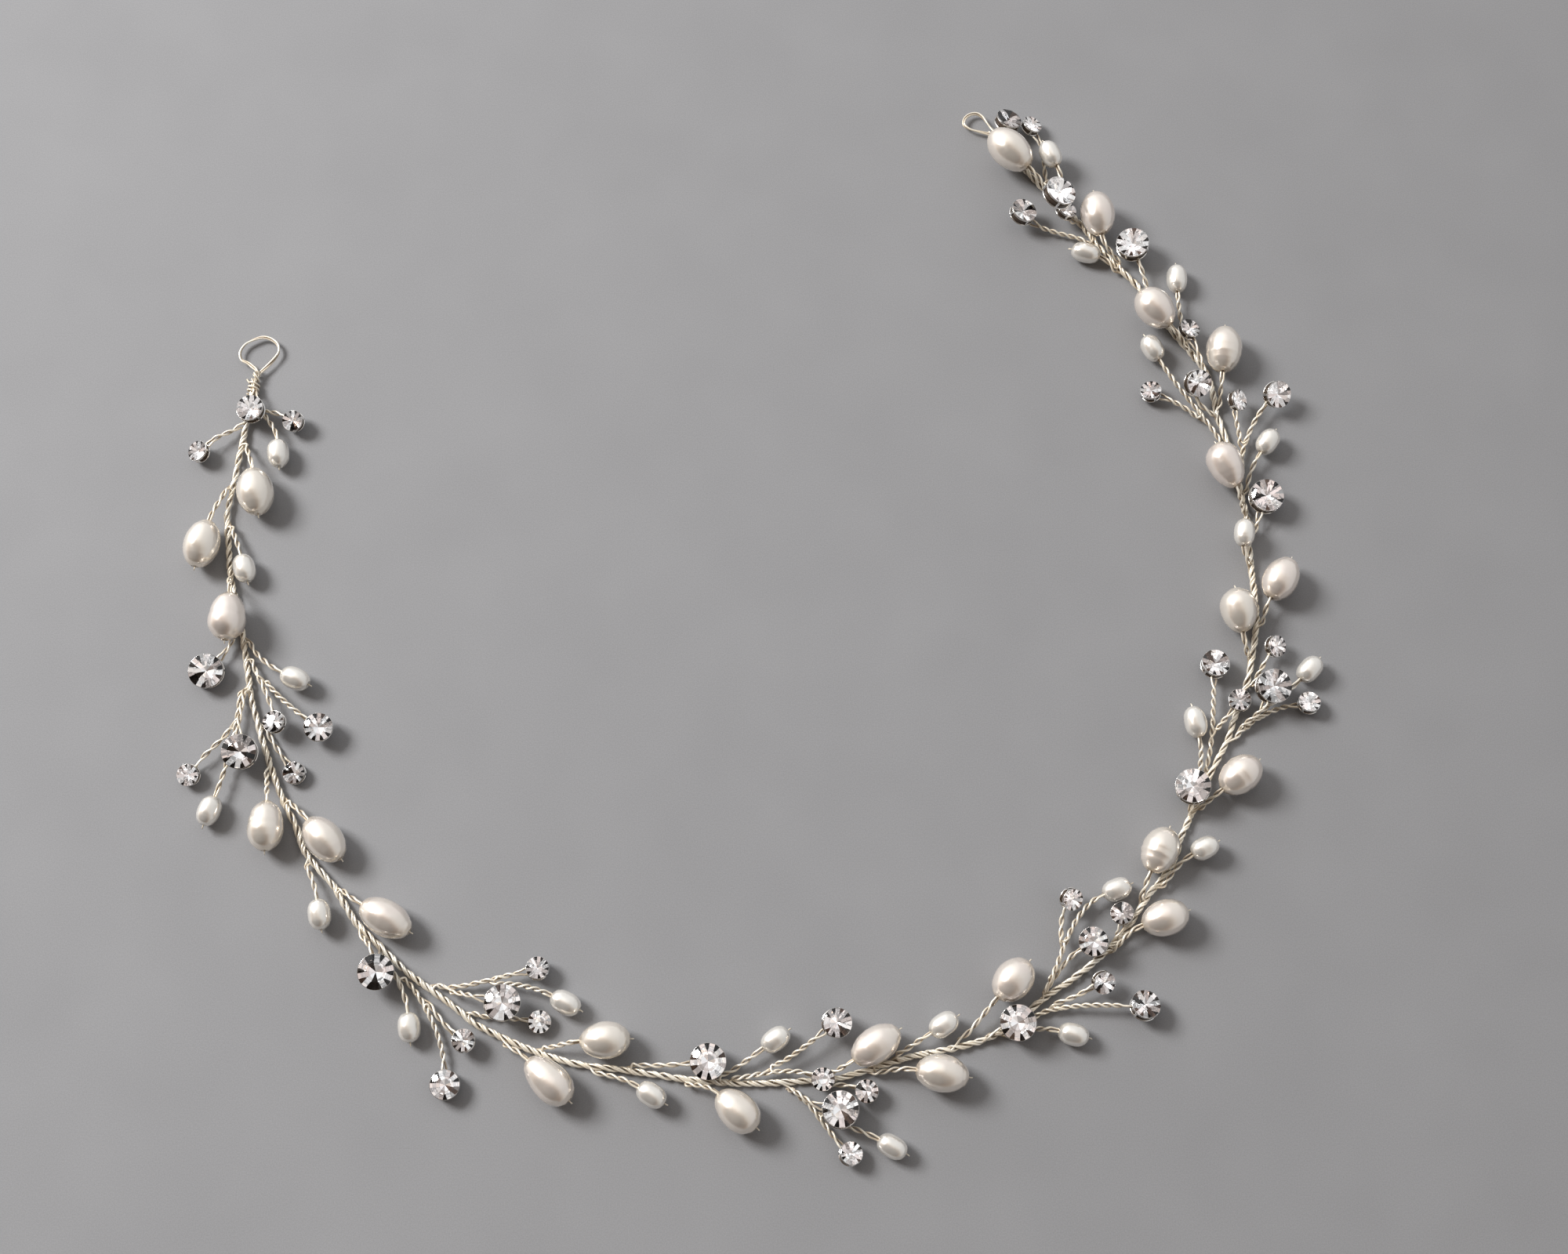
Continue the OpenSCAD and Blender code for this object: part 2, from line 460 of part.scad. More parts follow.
module placed_stones(size) {
    for (row = CRYSTALS) {
        if (row[9] == size) stand(bead_centre(row), bead_way(row), face_way(row)) crystal(size);
    }
}

module placed_settings(size) {
    for (row = CRYSTALS) {
        if (row[9] == size) stand(bead_centre(row), bead_way(row), face_way(row)) setting(size);
    }
}

module stem_wire_left() { color("silver") placed() stem_part(0, 0.5); }
module stem_wire_right() { color("gainsboro") placed() stem_part(0.5, 1); }
module left_loop() { color("silver") placed() loop(0); }
module right_loop() { color("silver") placed() loop(1); }
module loop_wraps() {
    color("darkgray") placed() {
        wrap(stem_d / 2 + piece_gap + wire_d);
        wrap(stem_run - stem_d / 2 - piece_gap - wire_d - 2 * wire_d * wrap_turns);
    }
}
module sprig_wires_left() { color("silver") placed() sprig_wires(1, GROUP_ENDS[0]); }
module sprig_wires_bend() { color("lightgray") placed() sprig_wires(GROUP_ENDS[0] + 1, GROUP_ENDS[1]); }
module sprig_wires_right() { color("silver") placed() sprig_wires(GROUP_ENDS[1] + 1, 99); }
module small_pearls() {
    color("ivory") placed() for (row = BARRELS) placed_pearl(row);
}
module medium_crystals() { color("lightcyan") placed() placed_stones("medium"); }
module small_crystals() { color("lightcyan") placed() placed_stones("small"); }
module large_settings() { color("gray") placed() placed_settings("large"); }
module medium_settings() { color("gray") placed() placed_settings("medium"); }
module small_settings() { color("gray") placed() placed_settings("small"); }
module large_pearl(i) { color("seashell") placed() placed_pearl(PEARLS[i]); }
module large_crystal(i) {
    color("azure") placed()
        stand(bead_centre(LARGE[i]), bead_way(LARGE[i]), face_way(LARGE[i])) crystal("large");
}

stem_wire_left();
stem_wire_right();
left_loop();
right_loop();
loop_wraps();
sprig_wires_left();
sprig_wires_bend();
sprig_wires_right();
small_pearls();
medium_crystals();
small_crystals();
large_settings();
medium_settings();
small_settings();
for (i = [0:len(PEARLS) - 1]) {
    large_pearl(i);
}
for (i = [0:len(LARGE) - 1]) {
    large_crystal(i);
}
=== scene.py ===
import math
import random

import bmesh
import bpy
from mathutils import Matrix, Vector, noise


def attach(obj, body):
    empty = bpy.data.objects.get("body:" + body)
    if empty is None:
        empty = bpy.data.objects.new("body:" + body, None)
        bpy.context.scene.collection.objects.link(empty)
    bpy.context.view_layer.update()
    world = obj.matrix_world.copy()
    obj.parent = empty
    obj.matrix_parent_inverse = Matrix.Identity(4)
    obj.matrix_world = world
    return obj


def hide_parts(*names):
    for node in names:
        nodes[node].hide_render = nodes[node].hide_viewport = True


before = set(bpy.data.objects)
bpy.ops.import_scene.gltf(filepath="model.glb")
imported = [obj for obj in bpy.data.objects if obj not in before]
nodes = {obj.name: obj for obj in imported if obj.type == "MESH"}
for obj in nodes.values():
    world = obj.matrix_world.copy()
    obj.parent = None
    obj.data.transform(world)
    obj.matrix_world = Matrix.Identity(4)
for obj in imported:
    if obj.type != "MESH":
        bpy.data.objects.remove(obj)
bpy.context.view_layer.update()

mm = 0.001  # everything is in metres, so a size is a number of millimetres times this
weld = 0.001 * mm  # corners nearer than this are one corner
fineWeld = 0.0001 * mm
up = Vector((0, 0, 1))
scene = bpy.context.scene
print("frame loaded,", len(nodes), "nodes")

# the photograph's view: distance and aim in millimetres, tilt in degrees off straight down
camera = {
    "lens": 43.2, "sensor": 36.0, "near": 0.01,
    "tilt": 16.0, "distance": 278.0, "aim": (5.548, -4.110),
}
shootLens = bpy.data.cameras.new("photoLens")
shootLens.lens = camera["lens"]
shootLens.sensor_width = camera["sensor"]
shootLens.clip_start = camera["near"]
shootCamera = bpy.data.objects.new("photoCamera", shootLens)
scene.collection.objects.link(shootCamera)
lean = math.radians(camera["tilt"])
back = Vector((0, -math.sin(lean), math.cos(lean))) * camera["distance"]
shootCamera.location = (Vector((*camera["aim"], 0)) + back) * mm
shootCamera.rotation_euler = (lean, 0, 0)
scene.camera = shootCamera


# a socket that can be added, multiplied and so on; each sum adds a Math node
class Wired:
    def __init__(self, paint, socket):
        self.paint = paint
        self.socket = socket

    def maths(self, operation, first, second):
        return self.paint.add("Math", {"operation": operation}, {0: first, 1: second})

    def __add__(self, other):
        return self.maths("ADD", self, other)

    def __radd__(self, other):
        return self.maths("ADD", other, self)

    def __sub__(self, other):
        return self.maths("SUBTRACT", self, other)

    def __rsub__(self, other):
        return self.maths("SUBTRACT", other, self)

    def __mul__(self, other):
        return self.maths("MULTIPLY", self, other)

    def __rmul__(self, other):
        return self.maths("MULTIPLY", other, self)

    def sine(self):
        return self.paint.add("Math", {"operation": "SINE"}, {0: self})

    def clamped(self):
        return self.paint.add("Math", {"operation": "ADD", "use_clamp": True}, {0: self, 1: 0.0})


# the nodes of one material or of the world
class Paint:
    def __init__(self, owner):
        owner.use_nodes = True
        self.owner = owner
        self.tree = owner.node_tree
        self.tree.nodes.clear()

    def add(self, kind, settings=None, sockets=None, output=0):
        made = self.tree.nodes.new("ShaderNode" + kind)
        for name, value in (settings or {}).items():
            if name == "stops":
                ramp = made.color_ramp
                while len(ramp.elements) < len(value):
                    ramp.elements.new(0.5)
                for element, (place, colour) in zip(ramp.elements, value):
                    element.position = place
                    element.color = (*colour, 1)
            else:
                setattr(made, name, value)
        for name, value in (sockets or {}).items():
            if isinstance(value, Wired):
                self.tree.links.new(value.socket, made.inputs[name])
            else:
                made.inputs[name].default_value = value
        return Wired(self, made.outputs[output]) if len(made.outputs) else made

    def colourMix(self, share, first, second):
        settings = {"data_type": "RGBA", "blend_type": "MIX", "clamp_factor": True}
        colours = [c if isinstance(c, Wired) else (*c, 1) for c in (first, second)]
        return self.add("Mix", settings, {0: share, 6: colours[0], 7: colours[1]}, output=2)

    def grain(self, scale, detail=2.0, rough=0.5):
        place = self.add("TexCoord", output="Object")
        sockets = {"Vector": place, "Scale": scale, "Detail": detail, "Roughness": rough}
        return self.add("TexNoise", {"noise_dimensions": "3D"}, sockets)

    def mark(self, name, output="Fac"):
        return self.add("Attribute", {"attribute_name": name}, output=output)

    def bump(self, height, strength, depth):
        sockets = {"Strength": strength, "Distance": depth, "Height": height}
        return self.add("Bump", None, sockets)

    def finish(self, sockets):
        shader = self.add("BsdfPrincipled", sockets=sockets)
        self.add("OutputMaterial", sockets={"Surface": shader})
        return self.owner


def newPaint(name):
    return Paint(bpy.data.materials.new(name))


def makeWireFinish():
    look = {
        "bright": (0.98, 0.93, 0.82), "warm": (0.93, 0.82, 0.64), "paintedCreviceShade": (0.34, 0.25, 0.16),
        "metal": 0.38, "roughness": 0.25, "scratch": 0.006 * mm,
    }
    paint = newPaint("softSilverWire")
    patches = paint.grain(420.0, 3.0)
    fine = paint.grain(9000.0, 2.0, 0.6)
    hollow = paint.mark("hollow")  # 1 where a strand faces its neighbours
    body = paint.colourMix((patches * 2.2 - 0.7).clamped(), look["bright"], look["warm"])
    # painted shade: the colour turns dark brown where a strand faces its neighbours, in the rope's
    # creases
    depth = (hollow * 1.25 - 0.30 + patches * 0.1).clamped()
    return paint.finish({
        "Base Color": paint.colourMix(depth, body, look["paintedCreviceShade"]), "Metallic": look["metal"],
        "Roughness": look["roughness"] + fine * 0.10 + hollow * 0.15,
        "Normal": paint.bump(fine, 0.5, look["scratch"]),
    })


def makeSettingFinish():
    look = {
        "silver": (0.93, 0.92, 0.90), "dull": (0.62, 0.58, 0.53),
        "roughness": 0.14, "scratch": 0.004 * mm,
    }
    paint = newPaint("platedSilverCup")
    patches = paint.grain(900.0, 3.0, 0.6)
    fine = paint.grain(12000.0, 2.0)
    worn = (patches * 2.4 - 0.95).clamped()
    return paint.finish({
        "Base Color": paint.colourMix(worn, look["silver"], look["dull"]), "Metallic": 1.0,
        "Roughness": look["roughness"] + patches * 0.14,
        "Normal": paint.bump(fine, 0.4, look["scratch"]),
    })


def makePearlFinish():
    look = {
        "cream": (0.94, 0.875, 0.785), "rose": (0.94, 0.845, 0.775), "straw": (0.86, 0.75, 0.56),
        "shade": (0.55, 0.40, 0.26), "silver": (0.95, 0.93, 0.87), "lustre": 0.62,
        "roughness": 0.18, "coat": 0.7, "coatRoughness": 0.07, "index": 1.6,
        "rings": 9.0, "ringDepth": 0.03 * mm,
    }
    paint = newPaint("freshwaterNacre")
    clouds = paint.grain(330.0, 3.0, 0.55)
    wisps = paint.grain(1300.0, 2.0, 0.5)
    along = paint.mark("alongPearl")  # -1 at the wire, 1 at the far end
    tone = paint.mark("pearlTone")  # 0 to 1, and 2 more on the small, whiter ones
    body = paint.colourMix((clouds * 2.0 + tone - 1.0).clamped(), look["cream"], look["rose"])
    tips = ((along * along) * 1.15 - 0.62 + (clouds - 0.5) * 0.8).clamped()
    body = paint.colourMix(tips * 0.55, body, look["straw"])
    body = paint.colourMix((tone - 1.0).clamped() * 0.8, body, look["silver"])
    hole = (0.0 - along - 0.86 + (wisps - 0.5) * 0.3).clamped()
    body = paint.colourMix(hole * 2.5, body, look["shade"])
    rings = (along * look["rings"] + clouds * 7.0 + tone * 20.0).sine()
    height = rings * 0.6 + wisps * 0.3 + clouds * 1.2
    return paint.finish({
        "Base Color": body, "Roughness": look["roughness"] + wisps * 0.10,
        "Normal": paint.bump(height, 0.35, look["ringDepth"]),
        "Metallic": look["lustre"], "Coat Weight": look["coat"],
        "Coat Roughness": look["coatRoughness"], "Coat IOR": look["index"], "IOR": look["index"],
    })


def makeGlassFinish():
    look = {"clear": (1.0, 1.0, 1.0), "veil": (0.97, 0.96, 0.96), "index": 1.56}
    paint = newPaint("crystalGlass")
    haze = paint.grain(2500.0, 2.0)
    return paint.finish({
        "Base Color": paint.colourMix(haze, look["clear"], look["veil"]),
        "Transmission Weight": 1.0, "IOR": look["index"], "Roughness": 0.0,
    })


def makeFoilFinish():
    look = {"veil": (0.85, 0.80, 0.77), "haze": 0.02, "roughness": 0.01, "paintedGlow": 0.35}
    paint = newPaint("mirrorFoil")
    haze = paint.grain(1500.0, 2.0)
    # each facet's painted reflection tone, bright or dark, tints the mirror foil
    facet = paint.mark("facetTone", "Color")
    return paint.finish({
        "Base Color": paint.colourMix(haze * look["haze"], facet, look["veil"]),
        "Metallic": 1.0, "Roughness": look["roughness"] + haze * look["haze"],
        "Emission Color": facet,
        "Emission Strength": look["paintedGlow"],  # painted glow: the foil glows in its facet tones, standing in for the light a cut stone gathers inside
    })


# dark brown: the lacquer over a stone's foil, and the painted shade on the wall inside each cup
def makeLacquerAndCupShade():
    look = {"dark": (0.035, 0.024, 0.018), "brown": (0.10, 0.068, 0.045)}
    paint = newPaint("foilBackLacquerAndCupShade")
    speckle = paint.grain(4000.0, 3.0)
    return paint.finish({
        "Base Color": paint.colourMix(speckle, look["dark"], look["brown"]),
        "Roughness": 0.25 + speckle * 0.2, "Metallic": 0.2,
    })


wireFinish = makeWireFinish()
settingFinish = makeSettingFinish()
pearlFinish = makePearlFinish()
lacquerAndCupShade = makeLacquerAndCupShade()
stoneFinishes = [makeGlassFinish(), makeFoilFinish(), lacquerAndCupShade]
print("materials ready")


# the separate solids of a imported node: corners, each corner's neighbours, and faces
def solidsOf(nodeName):
    work = bmesh.new()
    work.from_mesh(nodes[nodeName].data)
    bmesh.ops.remove_doubles(work, verts=work.verts, dist=weld)
    work.verts.ensure_lookup_table()
    seen = set()
    solids = []
    for start in work.verts:
        if start.index in seen:
            continue
        seen.add(start.index)
        island = [start]
        for corner in island:
            for edge in corner.link_edges:
                other = edge.other_vert(corner)
                if other.index not in seen:
                    seen.add(other.index)
                    island.append(other)
        faces = dict.fromkeys(f for v in island for f in v.link_faces)  # each once, in order
        solids.append({
            "points": {v.index: v.co.copy() for v in island},
            "near": {v.index: [e.other_vert(v).index for e in v.link_edges] for v in island},
            "faces": [(f.normal.copy(), f.calc_area()) for f in faces],
        })
    work.free()
    return solids


# the corners one edge away from the start, then two edges away, and so on
def walkFrom(solid, start):
    steps = {start: 0}
    layers = [[start]]
    while layers[-1]:
        ring = []
        for at in layers[-1]:
            for other in solid["near"][at]:
                if other not in steps:
                    steps[other] = len(layers)
                    ring.append(other)
        layers.append(ring)
    return layers[:-1]


# the rings of a packed tube from its thick end to its thin one, as (middle, radius)
def tubeRings(solid):
    tip = walkFrom(solid, next(iter(solid["near"])))[-1][0]
    rings = []
    for layer in walkFrom(solid, tip)[1:-1]:
        corners = [solid["points"][k] for k in layer]
        middle = sum(corners, Vector()) / len(corners)
        rings.append((middle, sum((c - middle).length for c in corners) / len(corners)))
    if rings[0][1] < rings[-1][1] - 0.01 * mm:
        rings.reverse()
    return rings


# a smooth curve through the points, evened out to one length of step
def smoothLine(points, step):
    spans = [max((b - a).length, 1e-9) for a, b in zip(points, points[1:])]
    slopes = [(b - a) / h for a, b, h in zip(points, points[1:], spans)]
    bends = [slopes[0]]
    for k in range(1, len(slopes)):
        total = spans[k - 1] + spans[k]
        bends.append((slopes[k - 1] * spans[k] + slopes[k] * spans[k - 1]) / total)
    bends.append(slopes[-1])
    dense = []
    for k, h in enumerate(spans):
        count = max(2, round(h / step * 4))  # four points a step before they are evened out
        for j in range(count):
            t = j / count
            a, b = points[k], points[k + 1]
            dense.append(
                a * (2 * t ** 3 - 3 * t * t + 1) + b * (3 * t * t - 2 * t ** 3)
                + (bends[k] * (t ** 3 - 2 * t * t + t) + bends[k + 1] * (t ** 3 - t * t)) * h
            )
    dense.append(points[-1])
    travelled = [0.0]
    for a, b in zip(dense, dense[1:]):
        travelled.append(travelled[-1] + (b - a).length)
    count = max(3, round(travelled[-1] / step))
    line = []
    at = 0
    for j in range(count + 1):
        wanted = travelled[-1] * j / count
        while at < len(dense) - 2 and travelled[at + 1] < wanted:
            at += 1
        span = max(travelled[at + 1] - travelled[at], 1e-12)
        line.append(dense[at].lerp(dense[at + 1], min(1.0, (wanted - travelled[at]) / span)))
    return line


# two directions square to the line at each point, carried along it without turning
def squareFrames(line):
    last = len(line) - 1
    ways = [(line[min(k + 1, last)] - line[max(k - 1, 0)]).normalized() for k in range(last + 1)]
    start = up if abs(ways[0].z) < 0.9 else Vector((1, 0, 0))
    side = (start - ways[0] * start.dot(ways[0])).normalized()
    frames = []
    for way in ways:
        side = (side - way * side.dot(way)).normalized()
        frames.append((way, side, way.cross(side)))
    return frames


# smooth seeded unevenness, -1 to 1
def wave(x, y, z):
    return noise.noise(Vector((x, y, z)))


def aboveFloor(point, least):
    return Vector((point.x, point.y, max(point.z, least)))


# thin tubes along many lines as one mesh; each row is (points, the rope's middle there, radii)
def drawTubes(name, rows, sides):
    curve = bpy.data.curves.new(name, "CURVE")
    curve.dimensions = "3D"
    curve.bevel_depth = mm  # so a point's radius is in millimetres
    curve.bevel_resolution = (sides - 4) // 2
    for points, middles, radii in rows:
        spline = curve.splines.new("POLY")
        spline.points.add(len(points) - 1)
        spline.points.foreach_set("co", [x for p in points for x in (*p, 1.0)])
        spline.points.foreach_set("radius", [r / mm for r in radii])
    drawn = bpy.data.objects.new(name, curve)
    scene.collection.objects.link(drawn)
    bpy.context.view_layer.update()
    finished = drawn.evaluated_get(bpy.context.evaluated_depsgraph_get())
    mesh = bpy.data.meshes.new_from_object(finished)
    bpy.data.objects.remove(drawn)
    bpy.data.curves.remove(curve)
    # the hollow mark made here sets where the wire's painted crevice shade falls
    shade = []  # 1 where a strand's side faces the rope's middle, 0 where it faces out
    for points, middles, radii in rows:
        for point, middle in zip(points, middles):
            arm = point - middle
            for corner in range(sides):
                outward = mesh.vertices[len(shade)].co - point
                if arm.length < fineWeld:
                    shade.append(0.3)  # a lone wire has no hollow side
                else:
                    size = max(outward.length * arm.length, 1e-12)
                    shade.append(0.5 - 0.5 * outward.dot(arm) / size)
    if len(shade) != len(mesh.vertices):
        raise ValueError(f"{name}: {len(mesh.vertices)} corners where {len(shade)} were drawn")
    hollow = mesh.attributes.new("hollow", "FLOAT", "POINT")
    hollow.data.foreach_set("value", shade)
    work = bmesh.new()
    work.from_mesh(mesh)
    rims = [e for e in work.edges if e.is_boundary]
    bmesh.ops.holes_fill(work, edges=rims, sides=sides)
    bmesh.ops.recalc_face_normals(work, faces=work.faces)
    work.to_mesh(mesh)
    work.free()
    mesh.shade_smooth()
    mesh.name = name
    return mesh


def addPiece(name, mesh, finishes, stoodFor):
    piece = bpy.data.objects.new(name, mesh)
    scene.collection.objects.link(piece)
    for finish in finishes:
        mesh.materials.append(finish)
    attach(piece, "root")
    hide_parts(stoodFor)


# the run of every packed wire; a stem's line goes from the left loop to the right one
thinWire = 0.22 * mm  # a packed sprig is thinner than this inside its pearl or its cup
stemNames = ["stem_wire_left", "stem_wire_right"]
sprigNames = ["sprig_wires_left", "sprig_wires_bend", "sprig_wires_right"]
stems = {name: [m for m, r in tubeRings(solidsOf(name)[0])] for name in stemNames}
for name, other in (stemNames, stemNames[::-1]):
    ends = (stems[name][0], stems[name][-1])
    gaps = [min((p - end).length for p in stems[other]) for end in ends]
    if (gaps[0] < gaps[1]) == (name == stemNames[0]):
        stems[name].reverse()
sprigs = {name: [tubeRings(solid) for solid in solidsOf(name)] for name in sprigNames}
print("wires read:", {name: len(rows) for name, rows in sprigs.items()})

pearlEnds = []  # where each wire goes into its pearl, and where it comes out
stonePlaces = []  # the same for each stone's cup
wireKinds = {}
for name, rows in sprigs.items():
    for k, rings in enumerate(rows):
        thin = [m for m, r in rings if r < thinWire]
        throughPearl = len(thin) >= 3  # it has one more ring, beyond the pearl
        wireKinds[name, k] = "pearl" if throughPearl else "stone"
        (pearlEnds if throughPearl else stonePlaces).append((thin[0], thin[1]))
print("pearls on wires:", len(pearlEnds), "stones on wires:", len(stonePlaces))


# the stem: an uneven rope of thin strands
stem = {
    "strand": 0.178 * mm, "spread": 0.30 * mm, "pitch": 3.8 * mm, "step": 0.24 * mm,
    "starts": [-27, 27, 153, 207], "uneven": 0.14 * mm, "sides": 8, "lift": 0.08 * mm,
}
# how any rope wanders: its pace of twist, each strand's turn, and how far out each strand lies
wander = {
    "pace": 0.35, "paceRun": 5 * mm, "turn": 0.55, "turnRun": 3 * mm, "outRun": 2 * mm,
}


def ropeRows(line, setup, seed):
    draw = random.Random(seed)
    frames = squareFrames(line)
    rows = []
    turn = [0.0]
    for k in range(1, len(line)):
        run = k * setup["step"]
        pace = 1.0 + wander["pace"] * wave(seed * 3.1, run / wander["paceRun"], 0.5)
        twist = 2 * math.pi * (line[k] - line[k - 1]).length / setup["pitch"]
        turn.append(turn[-1] + twist * pace)
    for start in setup["starts"]:
        points = []
        shift = draw.uniform(0, 50)
        for k, (way, side, over) in enumerate(frames):
            run = k * setup["step"]
            drift = wander["turn"] * wave(shift, run / wander["turnRun"], 7.7)
            angle = turn[k] + math.radians(start) + drift
            reach = setup["spread"] + setup["uneven"] * wave(run / wander["outRun"], shift, 1.3)
            spot = line[k] + (side * math.cos(angle) + over * math.sin(angle)) * reach
            spot.z = max(spot.z + setup["lift"], setup["strand"])
            points.append(spot)
        rows.append((points, line, [setup["strand"]] * len(points)))
    return rows


# one rope from end to end, which the two pieces share at the middle of the bend
wholeStem = smoothLine(stems[stemNames[0]] + stems[stemNames[1]], stem["step"])
bendEnd = stems[stemNames[0]][-1]
seam = min(range(len(wholeStem)), key=lambda k: (wholeStem[k] - bendEnd).length)
ropeStrands = ropeRows(wholeStem, stem, 3)
for name, share in zip(stemNames, (slice(0, seam + 1), slice(seam, None))):
    rows = [[part[share] for part in row] for row in ropeStrands]
    mesh = drawTubes(name + "_rope", rows, stem["sides"])
    addPiece(name + "_rope", mesh, [wireFinish], name)
print("stem twisted")


# the sprig wires: pairs twisted out to every bead and stone
sprig = {
    "strand": 0.168 * mm, "spread": 0.225 * mm, "pitch": 3.5 * mm, "step": 0.20 * mm, "sides": 8,
    "pitchRange": (0.72, 1.2), "rightHanded": 0.8, "uneven": 0.18, "unevenRun": 0.9 * mm,
    "mouth": 0.9 * mm, "openPearl": 0.20 * mm, "openStone": 0.42 * mm,  # the pair parts at its end
    "reach": 2.4 * mm,  # a carrier further off than this isn't one
    "root": 1.5 * mm,  # this far up a branch, it can carry another
    "fork": 1.7 * mm, "bare": 0.55 * mm, "hug": 0.36 * mm,
    # each strand's way in, along its carrier: share of the fork, turn round it, share of the hug
    "hold": ((1.0, 200, 0.1), (0.75, 150, 0.6), (0.5, 95, 1.0), (0.25, 45, 1.0)),
    # inside the hole: share of the parting, depth
    "inPearl": ((0.8, 0.7 * mm),), "inCup": ((0.8, 0.5 * mm), (0.45, 1.3 * mm)),
    "exit": 0.8 * mm, "nub": 0.85, "nubBend": (0.3, 0.2), "taper": 0.42,
}
allLines = list(stems.items())
for name, rows in sprigs.items():
    allLines += [((name, k), [m for m, r in rings]) for k, rings in enumerate(rows)]


# the wire that a point lies on: how far off it is, that wire's line, and how far along it
def carrierAt(point, own):
    best = None
    for key, line in allLines:
        if key == own:
            continue
        done = 0.0
        for a, b in zip(line, line[1:]):
            run = b - a
            t = max(0.0, min(1.0, (point - a).dot(run) / max(run.length_squared, 1e-18)))
            gap = (a + run * t - point).length
            place = done + run.length * t
            # two branches from one place don't carry each other
            carries = key in stems or place > sprig["root"]
            if carries and (best is None or gap < best[0]):
                best = (gap, line, place)
            done += run.length
    return best


# the place at a distance along a line, and the line's way there
def spotOn(line, wanted):
    for a, b in zip(line, line[1:]):
        span = (b - a).length
        if wanted <= span or b is line[-1]:
            share = max(0.0, min(1.0, wanted / max(span, 1e-12)))
            return a.lerp(b, share), (b - a).normalized()
        wanted -= span


def pairRows(rings, own, setup, seed):
    draw = random.Random(seed)
    thick = [m for m, r in rings if r >= thinWire]
    thin = [m for m, r in rings if r < thinWire]
    forPearl = wireKinds[own] == "pearl"
    entry = thin[0]
    inside = (thin[1] - entry).normalized()
    centre = smoothLine(thick + [entry], setup["step"])
    frames = squareFrames(centre)
    length = setup["step"] * (len(centre) - 1)
    gap, host, reached = carrierAt(centre[0], own)
    foot, along = spotOn(host, reached)
    hand = 1 if draw.random() < setup["rightHanded"] else -1
    pitch = setup["pitch"] * draw.uniform(*setup["pitchRange"])
    phase = draw.uniform(0, 2 * math.pi)
    opening = setup["openPearl" if forPearl else "openStone"]
    rows = []
    for number, flip in enumerate((1, -1)):
        points = []
        for k, (spot, (way, side, over)) in enumerate(zip(centre, frames)):
            done = k * setup["step"]
            twisted = min(done, length - setup["mouth"]) / pitch
            angle = phase + number * math.pi + hand * 2 * math.pi * twisted
            rough = setup["uneven"] * wave(seed * 1.7, done / setup["unevenRun"], 0.2)
            wide = setup["spread"] * (1 + rough)
            ease = max(0.0, 1 - (length - done) / setup["mouth"])
            wide += (opening - setup["spread"]) * ease * ease * (3 - 2 * ease)
            points.append(spot + (side * math.cos(angle) + over * math.sin(angle)) * wide)
        middles = list(centre)
        if gap < setup["reach"]:  # each strand runs on along the wire that carries the pair
            out = centre[min(3, len(centre) - 1)] - foot
            out = (out - along * out.dot(along)).normalized()
            beside = along.cross(out)
            lead = []
            for share, turn, near in setup["hold"]:
                turned = math.radians(turn) * flip * hand
                ring = (out * math.cos(turned) + beside * math.sin(turned)) * setup["hug"] * near
                lead.append(spotOn(host, reached + flip * setup["fork"] * share)[0] + ring)
            free = [p for k, p in enumerate(points) if k * setup["step"] >= setup["bare"]]
            points = smoothLine(lead + free[::2] + [points[-1]], setup["step"])
            middles = [min(centre, key=lambda c: (c - p).length) for p in points]
        points = [aboveFloor(p, setup["strand"]) for p in points]
        last = points[-1] - entry
        hole = setup["inPearl" if forPearl else "inCup"]
        tail = [entry + last * share + inside * depth for share, depth in hole]
        tapered = 0
        if forPearl and number == 0:  # one strand goes right through, and ends in a nub
            share, parting = setup["nubBend"]
            bend = thin[1].lerp(thin[2], share) + last * parting
            tail += [thin[1] - inside * setup["exit"], bend, thin[1].lerp(thin[2], setup["nub"])]
            tail = smoothLine([points[-1]] + tail, setup["step"])[1:]
            tapered = len(tail)
        points += tail
        middles += [entry] * len(tail)
        radii = [setup["strand"]] * (len(points) - tapered)
        for k in range(tapered):
            radii.append(setup["strand"] * (1 - setup["taper"] * (k + 1) / tapered))
        rows.append((points, middles, radii))
    return rows


for number, name in enumerate(sprigNames):
    rows = []
    for k, rings in enumerate(sprigs[name]):
        rows += pairRows(rings, (name, k), sprig, 100 * number + k + 1)
    mesh = drawTubes(name + "_twisted", rows, sprig["sides"])
    addPiece(name + "_twisted", mesh, [wireFinish], name)
print("sprig wires twisted")


# the two end loops
loops = {
    "strand": 0.15 * mm, "spread": 0.135 * mm, "pitch": 14 * mm, "step": 0.25 * mm,
    "starts": [20, 200], "uneven": 0.02 * mm, "sides": 8, "lift": 0.0,
    # over the rope's end, first out and then back: along the rope, above it
    "out": ((1.6 * mm, 0.15 * mm), (0.5 * mm, 0.1 * mm)),
    "home": ((0.25 * mm, 0.52 * mm), (1.4 * mm, 0.42 * mm)),
    # the long loop's end runs straight back to a knee, and winds loosely down to the wraps
    "knee": 1.7 * mm, "kneeBend": (0.45, 0.1 * mm),
    "windings": 2, "perWinding": 6, "firstTurn": 50, "loose": 0.48 * mm,
    "plainBend": (0.55, 0.30 * mm),  # the small loop just closes
}


